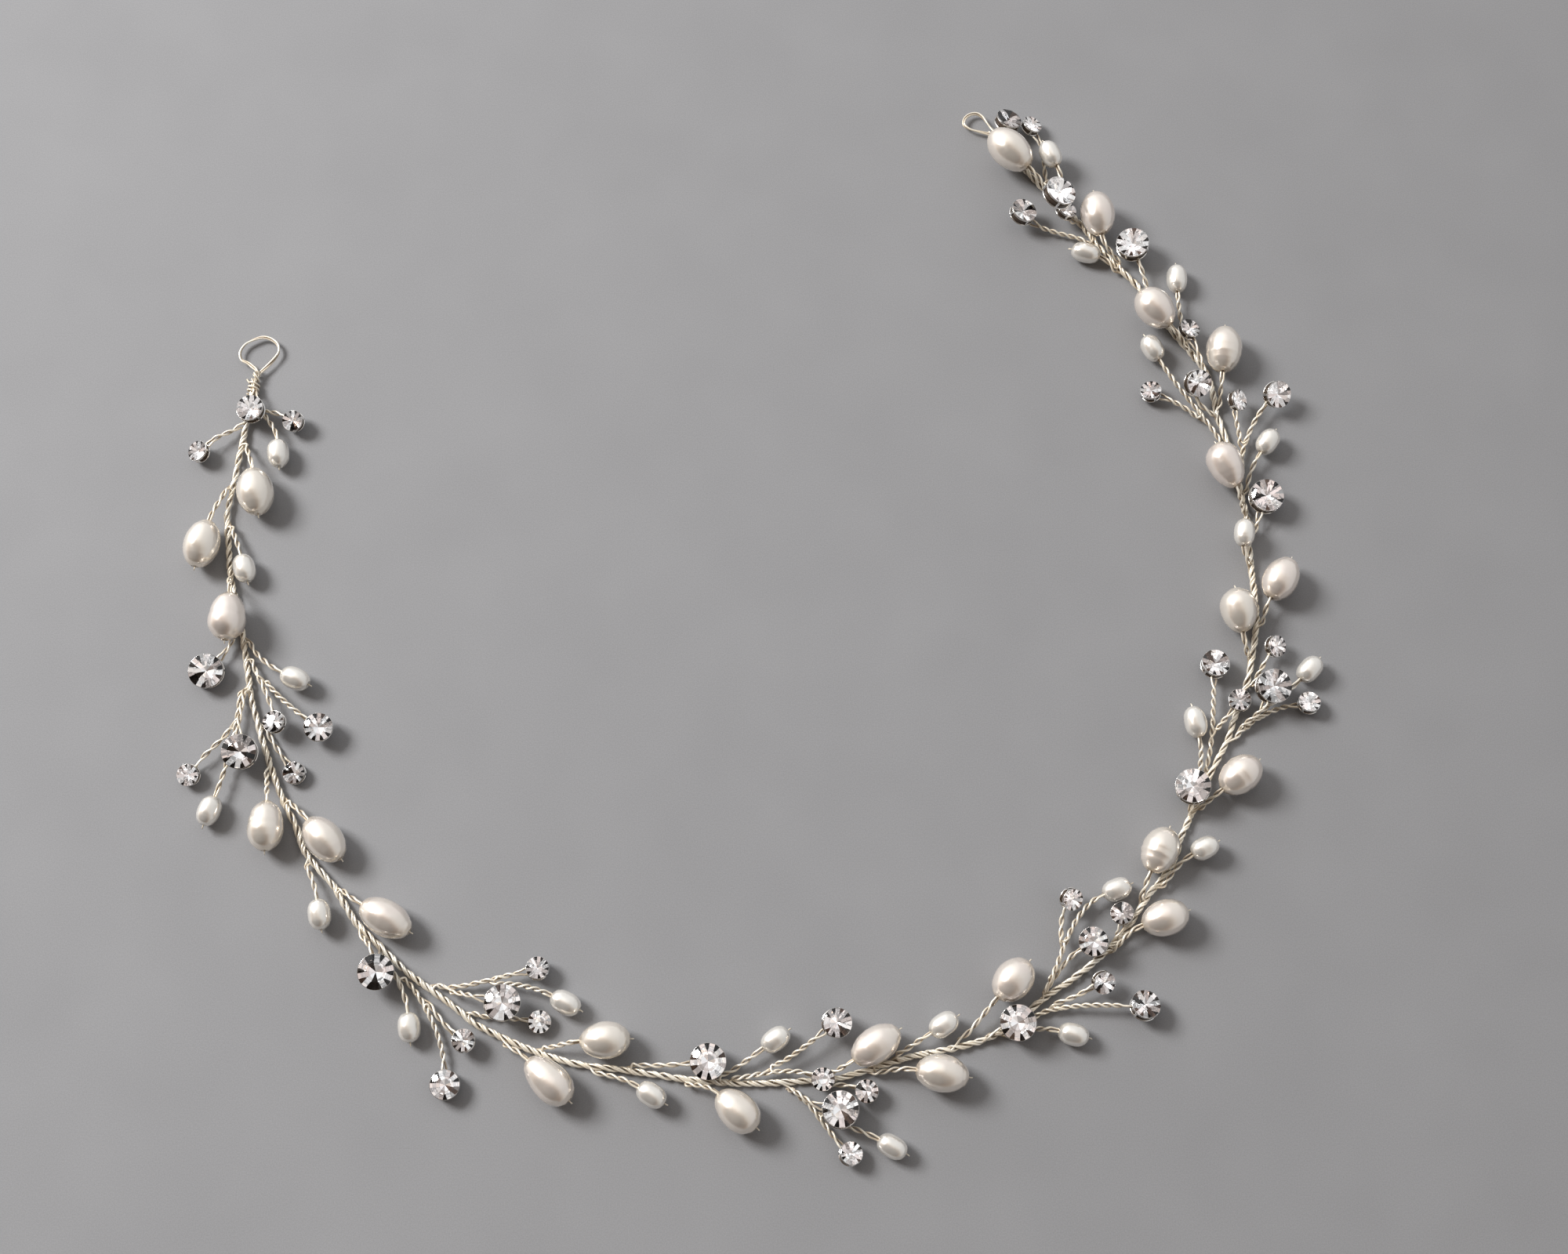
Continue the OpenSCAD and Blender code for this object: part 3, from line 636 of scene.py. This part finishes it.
def closedLoop(name, foot, inner):
    bend = [m for m, r in tubeRings(solidsOf(name)[0])]
    wound = name == "left_loop"
    if wound and (bend[-1] - foot).length < (bend[0] - foot).length:
        bend.reverse()
    inward = (inner - foot).normalized()
    start, home = ([foot + inward * a + up * h for a, h in loops[key]] for key in ("out", "home"))
    if wound:
        knee = foot - inward * loops["knee"]
        across = (bend[-1] - knee).normalized()
        front = inward.cross(across).normalized()
        front *= math.copysign(1, front.z)
        share, rise = loops["kneeBend"]
        close = [bend[-1].lerp(knee, share) + up * rise]
        count = loops["windings"] * loops["perWinding"]
        for k in range(count):
            turn = math.radians(360 / loops["perWinding"] * k + loops["firstTurn"])
            ring = (across * math.cos(turn) + front * math.sin(turn)) * loops["loose"]
            close.append(knee.lerp(foot, k / count) + ring)
    else:
        share, rise = loops["plainBend"]
        close = [bend[-1].lerp(foot, share) + up * rise]
    line = smoothLine(start + bend + close + home, loops["step"])
    return [aboveFloor(p, loops["strand"] + loops["spread"]) for p in line]


stemEnds = [stems[stemNames[0]][:2], stems[stemNames[1]][:-3:-1]]  # the last ring, then the next
for number, name in enumerate(["left_loop", "right_loop"]):
    line = closedLoop(name, *stemEnds[number])
    mesh = drawTubes(name + "_strands", ropeRows(line, loops, 40 + number), loops["sides"])
    addPiece(name + "_strands", mesh, [wireFinish], name)

# the wraps that tie the loops off, each with a short free tail
wraps = {
    "strand": 0.155 * mm, "step": 0.12 * mm, "sides": 8, "uneven": 0.09 * mm, "sway": 0.35,
    "tail": ((0.9 * mm, 0.85 * mm), (0.55 * mm, 0.30 * mm)),  # on along the wire, out from the stem
}
rows = []
for number, solid in enumerate(solidsOf("loop_wraps")):
    turns = [m for m, r in tubeRings(solid)]
    middle = sum(turns, Vector()) / len(turns)
    if number == 0:
        turns.reverse()
    loose = []
    for k, spot in enumerate(turns):
        sway = [wave(k * wraps["sway"], number * 9.0 + 3.0 * axis, 0.4) for axis in range(3)]
        loose.append(spot + Vector(sway) * wraps["uneven"])
    away = (turns[0] - turns[1]).normalized()
    out = (turns[0] - middle).normalized()
    tail = [turns[0] + away * a + out * b for a, b in wraps["tail"]]
    line = [aboveFloor(p, wraps["strand"]) for p in smoothLine(tail + loose, wraps["step"])]
    rows.append((line, [middle] * len(line), [wraps["strand"]] * len(line)))
mesh = drawTubes("loop_wraps_coiled", rows, wraps["sides"])
addPiece("loop_wraps_coiled", mesh, [wireFinish], "loop_wraps")
print("loops and wraps drawn")


# pearls: a ball drawn out to each packed pearl's outline, a little lumpy
pearl = {
    "around": 40, "upDown": 30, "bins": 60, "least": 0.2 * mm,
    "lumps": 0.09 * mm, "smallLumps": 0.05 * mm, "lumpSize": 1.4,
    "fineLumps": 0.35, "fineSize": 3.2,  # finer lumps on them, as a share of their depth
    "drill": 0.55 * mm,  # how far the pole sinks into the hole
    "smallUpTo": 2.0 * mm,  # a pearl of a smaller radius is one of the white ones
}
pearlNames = [f"large_pearl_{k:02d}" for k in range(1, 23)] + ["small_pearls"]


# how wide a packed pearl is at each share of its length, along its hole
def pearlOutline(points, start, way):
    pairs = []
    for p in points:
        t = (p - start).dot(way)
        pairs.append((t, (p - start - way * t).length))
    low, high = min(t for t, r in pairs), max(t for t, r in pairs)
    widest = {}
    for t, r in pairs:
        key = round((t - low) / (high - low) * pearl["bins"])
        widest[key] = max(widest.get(key, 0), r)
    return low, high, [(k / pearl["bins"], widest[k]) for k in sorted(widest)]


def widthAt(outline, share):
    for (a, widthA), (b, widthB) in zip(outline, outline[1:]):
        if a <= share <= b:
            return widthA + (widthB - widthA) * (share - a) / max(b - a, 1e-9)
    return outline[-1][1]


def makePearl(work, alongLayer, toneLayer, solid, lump, seed):
    points = list(solid["points"].values())
    middle = sum(points, Vector()) / len(points)
    entry, beyond = min(pearlEnds, key=lambda ends: ((ends[0] + ends[1]) / 2 - middle).length)
    way = (beyond - entry).normalized()
    low, high, outline = pearlOutline(points, entry, way)
    side = way.orthogonal().normalized()
    over = way.cross(side)
    white = max(r for t, r in outline) < pearl["smallUpTo"]
    tone = random.Random(seed).random() + (2 if white else 0)
    ball = bmesh.ops.create_uvsphere(
        work, u_segments=pearl["around"], v_segments=pearl["upDown"], radius=1.0)
    for v in ball["verts"]:
        share = 0.5 + 0.5 * v.co.z
        spot = entry + way * (low + (high - low) * share)
        flat = Vector((v.co.x, v.co.y))
        if flat.length < weld:  # the drilled ends
            spot -= way * math.copysign(pearl["drill"], v.co.z)
        else:
            broad = Vector((v.co.x, v.co.y, v.co.z)) * pearl["lumpSize"]
            broad = 0.5 + 0.5 * noise.noise(broad + Vector((seed * 2.3, 0, 0)))
            fine = Vector((v.co.x, v.co.y, v.co.z * 2)) * pearl["fineSize"]
            fine = 0.5 + 0.5 * noise.noise(fine + Vector((0, seed * 1.9, 0)))
            inward = lump * (broad + pearl["fineLumps"] * fine)
            inward *= min(1.0, flat.length * 1.4)  # none at the ends
            wide = max(widthAt(outline, share) - inward, pearl["least"])
            flat.normalize()
            spot += (side * flat.x + over * flat.y) * wide
        v[alongLayer] = v.co.z
        v[toneLayer] = tone
        v.co = spot


for number, name in enumerate(pearlNames):
    small = name == "small_pearls"
    lump = pearl["smallLumps" if small else "lumps"]
    work = bmesh.new()
    layers = [work.verts.layers.float.new(key) for key in ("alongPearl", "pearlTone")]
    for k, solid in enumerate(solidsOf(name)):
        makePearl(work, *layers, solid, lump, 200 + number + k)
    bmesh.ops.recalc_face_normals(work, faces=work.faces)
    mesh = bpy.data.meshes.new(name + "_nacre")
    work.to_mesh(mesh)
    work.free()
    mesh.shade_smooth()
    addPiece(name + "_nacre", mesh, [pearlFinish], name)
print("pearls made")


# stones, cut facet by facet from a round blank of radius 1; shares are of that radius
stone = {
    "mains": 10, "tableWidth": 0.56, "crown": 0.26, "pavilion": 0.54, "girdle": 0.05, "blank": 48,
    "breakSteep": 7, "breakIn": 0.995, "starFlat": 0.62, "between": 1.0,
    "grow": 0.10 * mm, "skin": 0.02 * mm, "proud": 0.06 * mm,
    # painted reflection on the foil: the share of main and between facets given a dark tone, the
    # dimmest level, then the bright and dark tones
    "darkReflectionMains": 0.08, "darkReflectionBetween": 0.74, "dimmest": 0.88,
    "bright": [
        (0.99, 0.99, 0.99), (0.98, 0.98, 0.98), (0.98, 0.94, 0.93), (0.93, 0.86, 0.84),
        (0.55, 0.50, 0.48),
    ],
    "dark": [
        (0.008, 0.007, 0.007), (0.012, 0.010, 0.009), (0.10, 0.065, 0.05), (0.02, 0.016, 0.014),
    ],
}
facetKinds = {"front": 1, "backMain": 5, "backBetween": 6}
crystalNames = [f"large_crystal_{k:02d}" for k in range(1, 13)]
crystalNames += ["medium_crystals", "small_crystals"]


# one facet: everything outside the plane goes, and the cut is closed
def cutFacet(work, marks, normal, through, kind):
    cut = bmesh.ops.bisect_plane(
        work, geom=work.verts[:] + work.edges[:] + work.faces[:], dist=fineWeld,
        plane_co=through, plane_no=normal.normalized(), clear_outer=True, clear_inner=False,
    )
    edges = [g for g in cut["geom_cut"] if isinstance(g, bmesh.types.BMEdge)]
    if len(edges) > 2:
        for face in bmesh.ops.edgenet_fill(work, edges=edges)["faces"]:
            face[marks] = facetKinds[kind]


def cutStone(setup):
    work = bmesh.new()
    marks = work.faces.layers.int.new("facetKind")
    half = setup["girdle"] / 2
    top = half + setup["crown"]
    bmesh.ops.create_cone(
        work, cap_ends=True, segments=setup["blank"], radius1=1, radius2=1, depth=2.0)
    cutFacet(work, marks, up, Vector((0, 0, top)), "front")
    slope = math.atan2(setup["crown"], 1 - setup["tableWidth"])
    depth = math.atan2(setup["pavilion"], 1)
    count = setup["mains"]
    starAt = setup["tableWidth"] * math.cos(math.pi / count)

    def ring(howMany, offset, tilt, radius, height, kind):
        facing = 1 if kind == "front" else -1
        for k in range(howMany):
            turn = 2 * math.pi * (k + offset) / howMany
            aim = Vector((math.cos(turn), math.sin(turn), 0))
            normal = aim * math.sin(tilt) + Vector((0, 0, facing)) * math.cos(tilt)
            cutFacet(work, marks, normal, aim * radius + Vector((0, 0, height)), kind)

    ring(count, 0.0, slope, 1.0, half, "front")
    steep = slope + math.radians(setup["breakSteep"])
    ring(count * 2, 0.5, steep, setup["breakIn"], half, "front")
    ring(count, 0.5, slope * setup["starFlat"], starAt, top, "front")
    ring(count, 0.0, depth, 1.0, -half, "backMain")
    ring(count, 0.5, depth + math.radians(setup["between"]), 1.0, -half, "backBetween")
    bmesh.ops.dissolve_degenerate(work, edges=work.edges, dist=1e-5)
    bmesh.ops.recalc_face_normals(work, faces=work.faces)
    return work


roughStone = cutStone(stone)
roughMesh = bpy.data.meshes.new("cutStone")
roughStone.to_mesh(roughMesh)
roughStone.free()
print("stone cut:", len(roughMesh.polygons), "facets")


# where a packed stone is: its face's direction, its wire's direction, its size and its back
def stonePlace(solid):
    areas = {}
    for normal, area in solid["faces"]:
        key = tuple(round(x, 2) for x in normal)
        areas[key] = areas.get(key, 0) + area
    facing = Vector(max(areas, key=areas.get)).normalized()  # its table is its largest face
    table = [normal * area for normal, area in solid["faces"] if normal.dot(facing) > 0.999]
    facing = sum(table, Vector()).normalized()
    points = list(solid["points"].values())
    middle = sum(points, Vector()) / len(points)
    heights = [(p - middle).dot(facing) for p in points]
    radius = max(((p - middle) - facing * h).length for p, h in zip(points, heights))
    entry, end = min(stonePlaces, key=lambda ends: ((ends[0] + ends[1]) / 2 - middle).length)
    run = end - entry
    run = (run - facing * run.dot(facing)).normalized()
    return {
        "facing": facing, "run": run, "over": facing.cross(run), "radius": radius,
        "culet": middle + facing * min(heights),
    }


def placeMatrix(place, origin):
    spin = Matrix((place["run"], place["over"], place["facing"])).transposed().to_4x4()
    return Matrix.Translation(origin) @ spin


# one stone: glass in front, foil behind, and a skin of lacquer over the foil
def addStone(work, place, seed):
    draw = random.Random(seed)
    one = bmesh.new()
    one.from_mesh(roughMesh)
    marks = one.faces.layers.int["facetKind"]
    reflectionTones = one.loops.layers.float_color.new("facetTone")
    radius = place["radius"] + stone["grow"]
    # painted reflection: each foil facet gets a seeded bright or dark tone, standing in for the
    # surroundings it mirrors
    for face in one.faces:
        face.material_index = 1 if face[marks] >= facetKinds["backMain"] else 0
        between = face[marks] == facetKinds["backBetween"]
        dark = draw.random() < stone["darkReflectionBetween" if between else "darkReflectionMains"]
        tone = draw.choice(stone["dark" if dark else "bright"])
        level = draw.uniform(stone["dimmest"], 1.0)
        for corner in face.loops:
            corner[reflectionTones] = (*(x * level for x in tone), 1)
    backs = [f for f in one.faces if f.material_index == 1]
    skin = bmesh.ops.duplicate(one, geom=backs)["geom"]
    skinFaces = [g for g in skin if isinstance(g, bmesh.types.BMFace)]
    for face in skinFaces:
        face.material_index = 2
    skinCorners = dict.fromkeys(v for f in skinFaces for v in f.verts)
    bmesh.ops.transform(one, matrix=Matrix.Scale(radius, 4), verts=one.verts)
    for v in skinCorners:
        v.co *= 1 + stone["skin"] / radius
        v.co.z -= stone["skin"]
    turn = Matrix.Rotation(draw.uniform(0, 2 * math.pi), 4, "Z")
    high = stone["pavilion"] * place["radius"] + stone["proud"]
    girdle = place["culet"] + place["facing"] * high
    bmesh.ops.transform(one, matrix=placeMatrix(place, girdle) @ turn, verts=one.verts)
    holder = bpy.data.meshes.new("oneStone")
    one.to_mesh(holder)
    one.free()
    work.from_mesh(holder)
    bpy.data.meshes.remove(holder)


for number, name in enumerate(crystalNames):
    work = bmesh.new()
    for k, solid in enumerate(solidsOf(name)):
        addStone(work, stonePlace(solid), 400 + 37 * number + k)
    mesh = bpy.data.meshes.new(name + "_cut")
    work.to_mesh(mesh)
    work.free()
    addPiece(name + "_cut", mesh, stoneFinishes, name)
print("stones set")


# settings: a ring at the back, four slim posts, a thin rim, and a wall inside painted dark as shade
cup = {
    "culetHigh": 0.25 * mm, "outside": 0.18 * mm, "around": 36, "section": 10,
    "ringWide": 0.15 * mm, "ringTall": 0.13 * mm, "ringIn": 0.03 * mm, "ringHigh": 0.02 * mm,
    "rimWide": 0.04 * mm, "rimTall": 0.10 * mm, "rimDown": 0.14 * mm,
    "posts": 4, "postWide": 0.34 * mm, "postThick": 0.12 * mm, "postIn": 0.10 * mm,
    "postUp": 0.05 * mm, "postRound": 0.03 * mm,
    # the inner wall: how far in its foot, waist and lip lie, its foot's height, its lip's drop
    "wall": 0.05 * mm, "footIn": 0.22 * mm, "waistIn": 0.17 * mm, "lipIn": 0.20 * mm,
    "footHigh": 0.05 * mm, "lipDown": 0.16 * mm,
}


def edgesOf(corners):
    return list(dict.fromkeys(e for v in corners for e in v.link_edges))


def spinRound(work, shape, steps):
    bmesh.ops.spin(
        work, geom=shape, cent=(0, 0, 0), axis=(0, 0, 1), dvec=(0, 0, 0),
        angle=2 * math.pi, steps=steps, use_merge=True, use_duplicate=False,
    )


def addHoop(work, radius, wide, tall, height):
    ring = bmesh.ops.create_circle(
        work, cap_ends=False, segments=cup["section"], radius=1.0)["verts"]
    stand = Matrix.Translation((radius, 0, height)) @ Matrix.Rotation(math.pi / 2, 4, "X")
    bmesh.ops.transform(work, matrix=stand @ Matrix.Diagonal((wide, tall, 1, 1)), verts=ring)
    spinRound(work, ring + edgesOf(ring), cup["around"])


# the wall inside the cup, from the back ring up to the stone, dark brown as painted shade
def addBowl(work, outside, girdle):
    bowl = bmesh.new()
    foot = bowl.verts.new((outside - cup["footIn"], 0, cup["footHigh"]))
    waist = bowl.verts.new((outside - cup["waistIn"], 0, girdle * 0.5))
    lip = bowl.verts.new((outside - cup["lipIn"], 0, girdle - cup["lipDown"]))
    edges = [bowl.edges.new((foot, waist)), bowl.edges.new((waist, lip))]
    spinRound(bowl, [foot, waist, lip] + edges, cup["around"])
    bmesh.ops.remove_doubles(bowl, verts=bowl.verts, dist=fineWeld)
    bmesh.ops.recalc_face_normals(bowl, faces=bowl.faces)
    bmesh.ops.solidify(bowl, geom=bowl.faces[:], thickness=cup["wall"])
    # the wall takes the dark finish, as painted shade inside the cup
    for face in bowl.faces:
        face.material_index = 1
    holder = bpy.data.meshes.new("oneBowl")
    bowl.to_mesh(holder)
    bowl.free()
    work.from_mesh(holder)
    bpy.data.meshes.remove(holder)


def makeCup(place):
    work = bmesh.new()
    outside = place["radius"] + cup["outside"]
    girdle = cup["culetHigh"] + stone["pavilion"] * place["radius"]
    ringRadius = outside - cup["ringWide"] - cup["ringIn"]
    addHoop(work, ringRadius, cup["ringWide"], cup["ringTall"], cup["ringHigh"])
    addHoop(work, outside - cup["rimWide"], cup["rimWide"], cup["rimTall"], girdle - cup["rimDown"])
    bmesh.ops.remove_doubles(work, verts=work.verts, dist=fineWeld)
    addBowl(work, outside, girdle)
    tall = girdle + cup["postUp"]
    for k in range(cup["posts"]):
        bar = bmesh.ops.create_cube(work, size=1.0)["verts"]
        shape = Matrix.Diagonal((cup["postThick"], cup["postWide"], tall, 1))
        spot = Matrix.Translation((outside - cup["postIn"], 0, tall / 2))
        turn = Matrix.Rotation(2 * math.pi * (k + 0.5) / cup["posts"], 4, "Z")
        bmesh.ops.transform(work, matrix=turn @ spot @ shape, verts=bar)
        bmesh.ops.bevel(
            work, geom=edgesOf(bar), offset=cup["postRound"], affect="EDGES", segments=2,
            profile=0.5, material=-1,
        )
    bmesh.ops.recalc_face_normals(work, faces=work.faces)
    origin = place["culet"] - place["facing"] * cup["culetHigh"]
    bmesh.ops.transform(work, matrix=placeMatrix(place, origin), verts=work.verts)
    mesh = bpy.data.meshes.new("oneCup")
    work.to_mesh(mesh)
    work.free()
    return mesh


settingSets = {
    "large_settings": crystalNames[:12], "medium_settings": ["medium_crystals"],
    "small_settings": ["small_crystals"],
}
for name, held in settingSets.items():
    work = bmesh.new()
    for stoneName in held:
        for solid in solidsOf(stoneName):
            one = makeCup(stonePlace(solid))
            work.from_mesh(one)
            bpy.data.meshes.remove(one)
    mesh = bpy.data.meshes.new(name + "_cups")
    work.to_mesh(mesh)
    work.free()
    mesh.shade_smooth()
    addPiece(name + "_cups", mesh, [settingFinish, lacquerAndCupShade], name)
print("settings made")


# floor, light and surroundings
studio = {
    "floorWide": 16.0, "floorAround": 96, "grit": 0.05 * mm,
    "floorDark": (0.16, 0.16, 0.165), "floorLight": (0.40, 0.40, 0.408),
    "key": 9.0, "keySize": 0.30, "keyFrom": (-0.59, 0.31, 0.57),
    "surround": 0.80, "glow": 1.1, "wall": (0.46, 0.46, 0.47),
    "darkTowards": (-0.45, -0.66, 0.60),  # the dark side of the room, which the pearls mirror
    "air": [
        (0.55, (0.76, 0.77, 0.79)), (0.72, (0.64, 0.61, 0.58)), (0.84, (0.22, 0.155, 0.11)),
        (0.93, (0.035, 0.022, 0.014)),
    ],
}


def makeFloorFinish():
    paint = newPaint("greyPaper")
    grit = paint.grain(5200.0, 3.0, 0.75)
    clouds = paint.grain(60.0, 2.0)
    shade = ((grit - 0.5) * 0.55 + (clouds - 0.5) * 0.15 + 0.5).clamped()
    return paint.finish({
        "Base Color": paint.colourMix(shade, studio["floorDark"], studio["floorLight"]),
        "Roughness": 0.9, "Specular IOR Level": 0.2,
        "Normal": paint.bump(grit, 0.25, studio["grit"]),
    })


work = bmesh.new()
bmesh.ops.create_circle(
    work, cap_ends=True, segments=studio["floorAround"], radius=studio["floorWide"] / 2)
floorMesh = bpy.data.meshes.new("studioFloor")
work.to_mesh(floorMesh)
work.free()
floorMesh.materials.append(makeFloorFinish())
floor = bpy.data.objects.new("studioFloor", floorMesh)
scene.collection.objects.link(floor)

softbox = bpy.data.lights.new("keySoftbox", "AREA")
softbox.energy = studio["key"]
softbox.size = studio["keySize"]
keyLamp = bpy.data.objects.new("keySoftbox", softbox)
scene.collection.objects.link(keyLamp)
keyLamp.location = studio["keyFrom"]
keyLamp.rotation_euler = (-Vector(studio["keyFrom"])).to_track_quat("-Z", "Y").to_euler()

world = bpy.data.worlds.new("studioAir")
scene.world = world
air = Paint(world)
towards = air.add("TexCoord", output="Generated")


# 1 in that direction, -1 in the opposite one
def facingTo(direction):
    return air.add("VectorMath", {"operation": "DOT_PRODUCT"}, {0: towards, 1: direction}, output=1)


shade = air.add(
    "ValToRGB", {"stops": studio["air"]}, {"Fac": facingTo(studio["darkTowards"]) * 0.5 + 0.5})
nearKey = facingTo(Vector(studio["keyFrom"]).normalized())
glow = (nearKey * 2.2 - 1.1).clamped() * studio["glow"] + 1.0  # the wall that the softbox lights
lit = air.add("Background", None, {"Color": shade, "Strength": glow * studio["surround"]})
seen = air.add("Background", None, {"Color": (*studio["wall"], 1), "Strength": 1.0})
direct = air.add("LightPath", output="Is Camera Ray")  # seen directly, the wall is plain grey
backdrop = air.add("MixShader", None, {0: direct, 1: lit, 2: seen})
air.add("OutputWorld", None, {"Surface": backdrop})
scene.view_settings.view_transform = "Standard"
print("studio lit")
